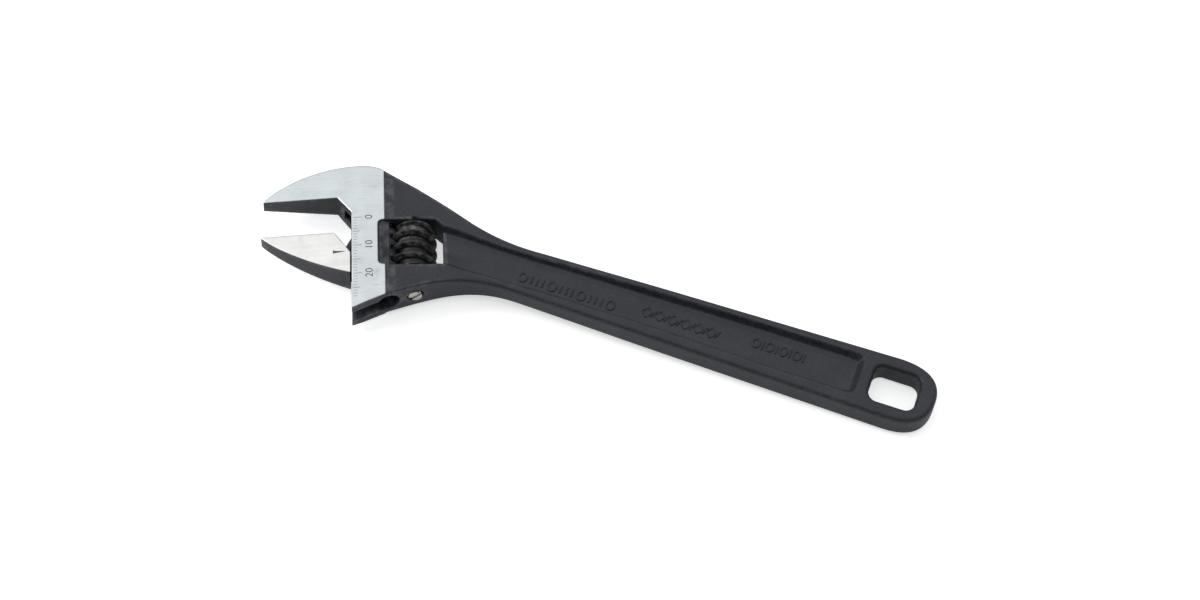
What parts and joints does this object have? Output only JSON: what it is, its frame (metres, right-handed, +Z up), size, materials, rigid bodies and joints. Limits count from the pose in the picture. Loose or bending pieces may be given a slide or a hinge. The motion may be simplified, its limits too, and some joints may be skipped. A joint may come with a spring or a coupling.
{
  "type": "adjustable wrench",
  "caption": "Adjustable wrench with a forged handle and fixed jaw, and a movable jaw on a round rail driven by a worm.",
  "frame": {"origin": "middle of the wrench's underside in X and Y, at the height of its lowest point, the worm's rim", "axes": "+X along the handle away from the jaws, +Y across the handle towards the fixed jaw's back, +Z up through the wrench's thickness as it lies flat"},
  "size_m": [0.2098, 0.0496, 0.0138],
  "materials": {
    "forging": "black phosphate coat on forged steel, satin and finely grained, with ground bare steel on the head's side faces",
    "ground_jaw": "bare ground side faces, black phosphate on the edges, gripping face and rail",
    "worm_black": "black oxide, satin, polished along the thread's crest",
    "pin_nickel": "bright nickel plate",
    "spring_steel": "drawn spring wire"
  },
  "bodies": {
    "handle": {"handle_and_fixed_jaw": "forging", "worm_pin": "pin_nickel", "worm_spring": "spring_steel"},
    "worm": {"adjusting_worm": "worm_black"},
    "jaw": {"movable_jaw": "ground_jaw"}
  },
  "joints": [
    {"name": "worm_turn", "type": "hinge", "parent": "handle", "child": "worm", "pos_m": [-0.05672, 0.00377, 0.0069], "axis": [0.3746, -0.9272, 0], "range_deg": [-1116, 1116]},
    {"name": "jaw_slide", "type": "slide", "parent": "handle", "child": "jaw", "axis": [0.3746, -0.9272, 0], "range_m": [-0.0125, 0.0125]}
  ],
  "couplings": [
    {"joint": "jaw_slide", "follows": "worm_turn", "m_per_rad": 0.00063662}
  ]
}
